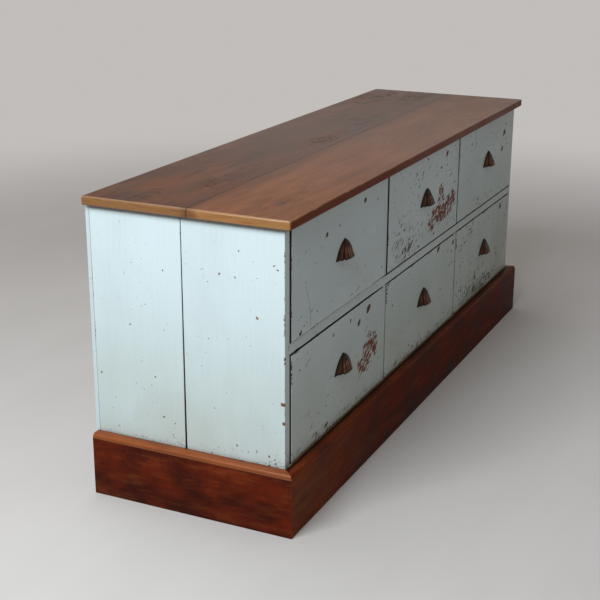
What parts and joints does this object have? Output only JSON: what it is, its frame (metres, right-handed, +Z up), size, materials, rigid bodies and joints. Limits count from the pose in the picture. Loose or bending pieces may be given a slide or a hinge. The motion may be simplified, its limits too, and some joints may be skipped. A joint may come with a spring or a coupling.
{
  "type": "chest of drawers",
  "caption": "Low shop chest of drawers: painted pine case, brown plank top, moulded plinth and dovetailed drawers with fan-shaped shell pulls.",
  "frame": {"origin": "on the floor, under the middle of the overall length and depth", "axes": "+X along the length to the right as seen from the front, +Y from front to back, +Z up"},
  "size_m": [1.713, 0.507, 0.7],
  "materials": {
    "painted_pine": "worn pale duck-egg blue oil paint on pine",
    "top_pine": "brown stained and waxed pine",
    "plinth_pine": "dark red-brown stained and waxed pine",
    "bare_pine": "bare pine, darkened with age",
    "pull_iron": "dark brown patina, rubbed brighter on the ribs",
    "screw_steel": "darkened steel",
    "brad_iron": "black iron brads"
  },
  "bodies": {
    "chest": {"back_boards": "bare_pine", "bottom_board": "bare_pine", "cut_brads": "brad_iron", "divider_left": "painted_pine", "divider_right": "painted_pine", "drawer_runners": "bare_pine", "drawer_stops": "bare_pine", "end_left_front_board": "painted_pine", "end_left_rear_board": "painted_pine", "end_right_front_board": "painted_pine", "end_right_rear_board": "painted_pine", "mid_rail": "painted_pine", "plinth_blocks": "bare_pine", "plinth_front": "plinth_pine", "plinth_left": "plinth_pine", "plinth_right": "plinth_pine", "top_front_board": "top_pine", "top_rear_board": "top_pine"},
    "lower_left_drawer": {"lower_left_drawer_front": "painted_pine", "lower_left_drawer_left_side": "bare_pine", "lower_left_drawer_right_side": "bare_pine", "lower_left_drawer_back": "bare_pine", "lower_left_drawer_bottom": "bare_pine", "lower_left_drawer_pull": "pull_iron", "lower_left_drawer_pull_screw": "screw_steel"},
    "lower_middle_drawer": {"lower_middle_drawer_front": "painted_pine", "lower_middle_drawer_left_side": "bare_pine", "lower_middle_drawer_right_side": "bare_pine", "lower_middle_drawer_back": "bare_pine", "lower_middle_drawer_bottom": "bare_pine", "lower_middle_drawer_pull": "pull_iron", "lower_middle_drawer_pull_screw": "screw_steel"},
    "lower_right_drawer": {"lower_right_drawer_front": "painted_pine", "lower_right_drawer_left_side": "bare_pine", "lower_right_drawer_right_side": "bare_pine", "lower_right_drawer_back": "bare_pine", "lower_right_drawer_bottom": "bare_pine", "lower_right_drawer_pull": "pull_iron", "lower_right_drawer_pull_screw": "screw_steel"},
    "upper_left_drawer": {"upper_left_drawer_front": "painted_pine", "upper_left_drawer_left_side": "bare_pine", "upper_left_drawer_right_side": "bare_pine", "upper_left_drawer_back": "bare_pine", "upper_left_drawer_bottom": "bare_pine", "upper_left_drawer_pull": "pull_iron", "upper_left_drawer_pull_screw": "screw_steel"},
    "upper_middle_drawer": {"upper_middle_drawer_front": "painted_pine", "upper_middle_drawer_left_side": "bare_pine", "upper_middle_drawer_right_side": "bare_pine", "upper_middle_drawer_back": "bare_pine", "upper_middle_drawer_bottom": "bare_pine", "upper_middle_drawer_pull": "pull_iron", "upper_middle_drawer_pull_screw": "screw_steel"},
    "upper_right_drawer": {"upper_right_drawer_front": "painted_pine", "upper_right_drawer_left_side": "bare_pine", "upper_right_drawer_right_side": "bare_pine", "upper_right_drawer_back": "bare_pine", "upper_right_drawer_bottom": "bare_pine", "upper_right_drawer_pull": "pull_iron", "upper_right_drawer_pull_screw": "screw_steel"}
  },
  "joints": [
    {"name": "lower_left_drawer_slide", "type": "slide", "parent": "chest", "child": "lower_left_drawer", "axis": [0, -1, 0], "range_m": [0, 0.36]},
    {"name": "lower_middle_drawer_slide", "type": "slide", "parent": "chest", "child": "lower_middle_drawer", "axis": [0, -1, 0], "range_m": [0, 0.36]},
    {"name": "lower_right_drawer_slide", "type": "slide", "parent": "chest", "child": "lower_right_drawer", "axis": [0, -1, 0], "range_m": [0, 0.36]},
    {"name": "upper_left_drawer_slide", "type": "slide", "parent": "chest", "child": "upper_left_drawer", "axis": [0, -1, 0], "range_m": [0, 0.36]},
    {"name": "upper_middle_drawer_slide", "type": "slide", "parent": "chest", "child": "upper_middle_drawer", "axis": [0, -1, 0], "range_m": [0, 0.36]},
    {"name": "upper_right_drawer_slide", "type": "slide", "parent": "chest", "child": "upper_right_drawer", "axis": [0, -1, 0], "range_m": [0, 0.36]}
  ]
}
